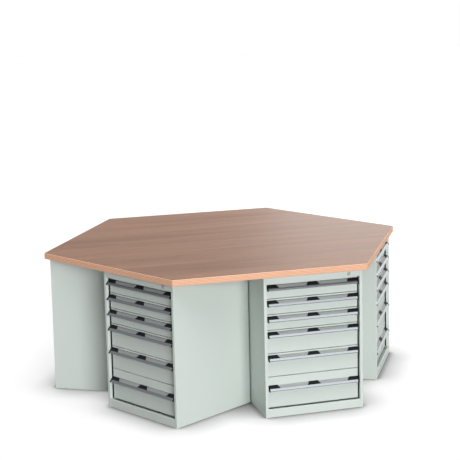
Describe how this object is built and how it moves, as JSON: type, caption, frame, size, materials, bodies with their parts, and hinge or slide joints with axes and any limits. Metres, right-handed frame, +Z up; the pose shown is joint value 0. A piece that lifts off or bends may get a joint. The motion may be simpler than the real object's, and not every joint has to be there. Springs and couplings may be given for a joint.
{
  "type": "hexagonal workshop bench",
  "caption": "Hexagonal workshop bench with steel drawer cabinets set in a pinwheel under a plywood worktop; the drawers slide out on side runners.",
  "frame": {"origin": "on the floor, under the middle of the worktop", "axes": "+Z up; +X through two opposite corners of the worktop; the first cabinet's drawers face -Y"},
  "size_m": [2.5074, 2.1714, 0.94],
  "materials": {
    "worktop": "lacquered beech plywood",
    "painted_steel": "light grey-green powder coat",
    "handle_strip": "satin anodised",
    "handle_bracket": "black moulded plastic",
    "lock_metal": "satin nickel"
  },
  "bodies": {
    "bench": {"worktop": "worktop", "cabinet_1_housing": "painted_steel", "cabinet_1_back_panel": "painted_steel", "cabinet_2_housing": "painted_steel", "cabinet_2_back_panel": "painted_steel", "cabinet_3_housing": "painted_steel", "cabinet_3_back_panel": "painted_steel", "cabinet_4_housing": "painted_steel", "cabinet_4_back_panel": "painted_steel", "cabinet_5_housing": "painted_steel", "cabinet_5_back_panel": "painted_steel", "cabinet_6_housing": "painted_steel", "cabinet_6_back_panel": "painted_steel"},
    "cabinet_1_lock": {"cabinet_1_lock": "lock_metal"},
    "cabinet_1_drawer_1": {"cabinet_1_drawer_1": "painted_steel"},
    "cabinet_1_drawer_2": {"cabinet_1_drawer_2": "painted_steel"},
    "cabinet_1_drawer_3": {"cabinet_1_drawer_3": "painted_steel"},
    "cabinet_1_drawer_4": {"cabinet_1_drawer_4": "painted_steel"},
    "cabinet_1_drawer_5": {"cabinet_1_drawer_5": "painted_steel"},
    "cabinet_1_drawer_6": {"cabinet_1_drawer_6": "painted_steel"},
    "cabinet_2_lock": {"cabinet_2_lock": "lock_metal"},
    "cabinet_2_drawer_1": {"cabinet_2_drawer_1": "painted_steel"},
    "cabinet_2_drawer_2": {"cabinet_2_drawer_2": "painted_steel"},
    "cabinet_2_drawer_3": {"cabinet_2_drawer_3": "painted_steel"},
    "cabinet_2_drawer_4": {"cabinet_2_drawer_4": "painted_steel"},
    "cabinet_2_drawer_5": {"cabinet_2_drawer_5": "painted_steel"},
    "cabinet_2_drawer_6": {"cabinet_2_drawer_6": "painted_steel"},
    "cabinet_3_lock": {"cabinet_3_lock": "lock_metal"},
    "cabinet_3_drawer_1": {"cabinet_3_drawer_1": "painted_steel"},
    "cabinet_3_drawer_2": {"cabinet_3_drawer_2": "painted_steel"},
    "cabinet_3_drawer_3": {"cabinet_3_drawer_3": "painted_steel"},
    "cabinet_3_drawer_4": {"cabinet_3_drawer_4": "painted_steel"},
    "cabinet_3_drawer_5": {"cabinet_3_drawer_5": "painted_steel"},
    "cabinet_3_drawer_6": {"cabinet_3_drawer_6": "painted_steel"},
    "cabinet_4_lock": {"cabinet_4_lock": "lock_metal"},
    "cabinet_4_drawer_1": {"cabinet_4_drawer_1": "painted_steel"},
    "cabinet_4_drawer_2": {"cabinet_4_drawer_2": "painted_steel"},
    "cabinet_4_drawer_3": {"cabinet_4_drawer_3": "painted_steel"},
    "cabinet_4_drawer_4": {"cabinet_4_drawer_4": "painted_steel"},
    "cabinet_4_drawer_5": {"cabinet_4_drawer_5": "painted_steel"},
    "cabinet_4_drawer_6": {"cabinet_4_drawer_6": "painted_steel"},
    "cabinet_5_lock": {"cabinet_5_lock": "lock_metal"},
    "cabinet_5_drawer_1": {"cabinet_5_drawer_1": "painted_steel"},
    "cabinet_5_drawer_2": {"cabinet_5_drawer_2": "painted_steel"},
    "cabinet_5_drawer_3": {"cabinet_5_drawer_3": "painted_steel"},
    "cabinet_5_drawer_4": {"cabinet_5_drawer_4": "painted_steel"},
    "cabinet_5_drawer_5": {"cabinet_5_drawer_5": "painted_steel"},
    "cabinet_5_drawer_6": {"cabinet_5_drawer_6": "painted_steel"},
    "cabinet_6_lock": {"cabinet_6_lock": "lock_metal"},
    "cabinet_6_drawer_1": {"cabinet_6_drawer_1": "painted_steel"},
    "cabinet_6_drawer_2": {"cabinet_6_drawer_2": "painted_steel"},
    "cabinet_6_drawer_3": {"cabinet_6_drawer_3": "painted_steel"},
    "cabinet_6_drawer_4": {"cabinet_6_drawer_4": "painted_steel"},
    "cabinet_6_drawer_5": {"cabinet_6_drawer_5": "painted_steel"},
    "cabinet_6_drawer_6": {"cabinet_6_drawer_6": "painted_steel"}
  },
  "joints": [
    {"name": "cabinet_1_lock_turn", "type": "hinge", "parent": "bench", "child": "cabinet_1_lock", "pos_m": [0.51083, -1.05671, 0.8785], "axis": [0, -1, 0], "range_deg": [0, 90]},
    {"name": "cabinet_2_lock_turn", "type": "hinge", "parent": "bench", "child": "cabinet_2_lock", "pos_m": [1.17055, -0.08596, 0.8785], "axis": [0.866, -0.5, 0], "range_deg": [0, 90]},
    {"name": "cabinet_3_lock_turn", "type": "hinge", "parent": "bench", "child": "cabinet_3_lock", "pos_m": [0.65972, 0.97075, 0.8785], "axis": [0.866, 0.5, 0], "range_deg": [0, 90]},
    {"name": "cabinet_4_lock_turn", "type": "hinge", "parent": "bench", "child": "cabinet_4_lock", "pos_m": [-0.51083, 1.05671, 0.8785], "axis": [0, 1, 0], "range_deg": [0, 90]},
    {"name": "cabinet_5_lock_turn", "type": "hinge", "parent": "bench", "child": "cabinet_5_lock", "pos_m": [-1.17055, 0.08596, 0.8785], "axis": [-0.866, 0.5, 0], "range_deg": [0, 90]},
    {"name": "cabinet_6_lock_turn", "type": "hinge", "parent": "bench", "child": "cabinet_6_lock", "pos_m": [-0.65972, -0.97075, 0.8785], "axis": [-0.866, -0.5, 0], "range_deg": [0, 90]},
    {"name": "cabinet_1_drawer_1_slide", "type": "slide", "parent": "bench", "child": "cabinet_1_drawer_1", "axis": [0, -1, 0], "range_m": [0, 0.45]},
    {"name": "cabinet_1_drawer_2_slide", "type": "slide", "parent": "bench", "child": "cabinet_1_drawer_2", "axis": [0, -1, 0], "range_m": [0, 0.45]},
    {"name": "cabinet_1_drawer_3_slide", "type": "slide", "parent": "bench", "child": "cabinet_1_drawer_3", "axis": [0, -1, 0], "range_m": [0, 0.45]},
    {"name": "cabinet_1_drawer_4_slide", "type": "slide", "parent": "bench", "child": "cabinet_1_drawer_4", "axis": [0, -1, 0], "range_m": [0, 0.45]},
    {"name": "cabinet_1_drawer_5_slide", "type": "slide", "parent": "bench", "child": "cabinet_1_drawer_5", "axis": [0, -1, 0], "range_m": [0, 0.45]},
    {"name": "cabinet_1_drawer_6_slide", "type": "slide", "parent": "bench", "child": "cabinet_1_drawer_6", "axis": [0, -1, 0], "range_m": [0, 0.45]},
    {"name": "cabinet_2_drawer_1_slide", "type": "slide", "parent": "bench", "child": "cabinet_2_drawer_1", "axis": [0.866, -0.5, 0], "range_m": [0, 0.45]},
    {"name": "cabinet_2_drawer_2_slide", "type": "slide", "parent": "bench", "child": "cabinet_2_drawer_2", "axis": [0.866, -0.5, 0], "range_m": [0, 0.45]},
    {"name": "cabinet_2_drawer_3_slide", "type": "slide", "parent": "bench", "child": "cabinet_2_drawer_3", "axis": [0.866, -0.5, 0], "range_m": [0, 0.45]},
    {"name": "cabinet_2_drawer_4_slide", "type": "slide", "parent": "bench", "child": "cabinet_2_drawer_4", "axis": [0.866, -0.5, 0], "range_m": [0, 0.45]},
    {"name": "cabinet_2_drawer_5_slide", "type": "slide", "parent": "bench", "child": "cabinet_2_drawer_5", "axis": [0.866, -0.5, 0], "range_m": [0, 0.45]},
    {"name": "cabinet_2_drawer_6_slide", "type": "slide", "parent": "bench", "child": "cabinet_2_drawer_6", "axis": [0.866, -0.5, 0], "range_m": [0, 0.45]},
    {"name": "cabinet_3_drawer_1_slide", "type": "slide", "parent": "bench", "child": "cabinet_3_drawer_1", "axis": [0.866, 0.5, 0], "range_m": [0, 0.45]},
    {"name": "cabinet_3_drawer_2_slide", "type": "slide", "parent": "bench", "child": "cabinet_3_drawer_2", "axis": [0.866, 0.5, 0], "range_m": [0, 0.45]},
    {"name": "cabinet_3_drawer_3_slide", "type": "slide", "parent": "bench", "child": "cabinet_3_drawer_3", "axis": [0.866, 0.5, 0], "range_m": [0, 0.45]},
    {"name": "cabinet_3_drawer_4_slide", "type": "slide", "parent": "bench", "child": "cabinet_3_drawer_4", "axis": [0.866, 0.5, 0], "range_m": [0, 0.45]},
    {"name": "cabinet_3_drawer_5_slide", "type": "slide", "parent": "bench", "child": "cabinet_3_drawer_5", "axis": [0.866, 0.5, 0], "range_m": [0, 0.45]},
    {"name": "cabinet_3_drawer_6_slide", "type": "slide", "parent": "bench", "child": "cabinet_3_drawer_6", "axis": [0.866, 0.5, 0], "range_m": [0, 0.45]},
    {"name": "cabinet_4_drawer_1_slide", "type": "slide", "parent": "bench", "child": "cabinet_4_drawer_1", "axis": [0, 1, 0], "range_m": [0, 0.45]},
    {"name": "cabinet_4_drawer_2_slide", "type": "slide", "parent": "bench", "child": "cabinet_4_drawer_2", "axis": [0, 1, 0], "range_m": [0, 0.45]},
    {"name": "cabinet_4_drawer_3_slide", "type": "slide", "parent": "bench", "child": "cabinet_4_drawer_3", "axis": [0, 1, 0], "range_m": [0, 0.45]},
    {"name": "cabinet_4_drawer_4_slide", "type": "slide", "parent": "bench", "child": "cabinet_4_drawer_4", "axis": [0, 1, 0], "range_m": [0, 0.45]},
    {"name": "cabinet_4_drawer_5_slide", "type": "slide", "parent": "bench", "child": "cabinet_4_drawer_5", "axis": [0, 1, 0], "range_m": [0, 0.45]},
    {"name": "cabinet_4_drawer_6_slide", "type": "slide", "parent": "bench", "child": "cabinet_4_drawer_6", "axis": [0, 1, 0], "range_m": [0, 0.45]},
    {"name": "cabinet_5_drawer_1_slide", "type": "slide", "parent": "bench", "child": "cabinet_5_drawer_1", "axis": [-0.866, 0.5, 0], "range_m": [0, 0.45]},
    {"name": "cabinet_5_drawer_2_slide", "type": "slide", "parent": "bench", "child": "cabinet_5_drawer_2", "axis": [-0.866, 0.5, 0], "range_m": [0, 0.45]},
    {"name": "cabinet_5_drawer_3_slide", "type": "slide", "parent": "bench", "child": "cabinet_5_drawer_3", "axis": [-0.866, 0.5, 0], "range_m": [0, 0.45]},
    {"name": "cabinet_5_drawer_4_slide", "type": "slide", "parent": "bench", "child": "cabinet_5_drawer_4", "axis": [-0.866, 0.5, 0], "range_m": [0, 0.45]},
    {"name": "cabinet_5_drawer_5_slide", "type": "slide", "parent": "bench", "child": "cabinet_5_drawer_5", "axis": [-0.866, 0.5, 0], "range_m": [0, 0.45]},
    {"name": "cabinet_5_drawer_6_slide", "type": "slide", "parent": "bench", "child": "cabinet_5_drawer_6", "axis": [-0.866, 0.5, 0], "range_m": [0, 0.45]},
    {"name": "cabinet_6_drawer_1_slide", "type": "slide", "parent": "bench", "child": "cabinet_6_drawer_1", "axis": [-0.866, -0.5, 0], "range_m": [0, 0.45]},
    {"name": "cabinet_6_drawer_2_slide", "type": "slide", "parent": "bench", "child": "cabinet_6_drawer_2", "axis": [-0.866, -0.5, 0], "range_m": [0, 0.45]},
    {"name": "cabinet_6_drawer_3_slide", "type": "slide", "parent": "bench", "child": "cabinet_6_drawer_3", "axis": [-0.866, -0.5, 0], "range_m": [0, 0.45]},
    {"name": "cabinet_6_drawer_4_slide", "type": "slide", "parent": "bench", "child": "cabinet_6_drawer_4", "axis": [-0.866, -0.5, 0], "range_m": [0, 0.45]},
    {"name": "cabinet_6_drawer_5_slide", "type": "slide", "parent": "bench", "child": "cabinet_6_drawer_5", "axis": [-0.866, -0.5, 0], "range_m": [0, 0.45]},
    {"name": "cabinet_6_drawer_6_slide", "type": "slide", "parent": "bench", "child": "cabinet_6_drawer_6", "axis": [-0.866, -0.5, 0], "range_m": [0, 0.45]}
  ]
}
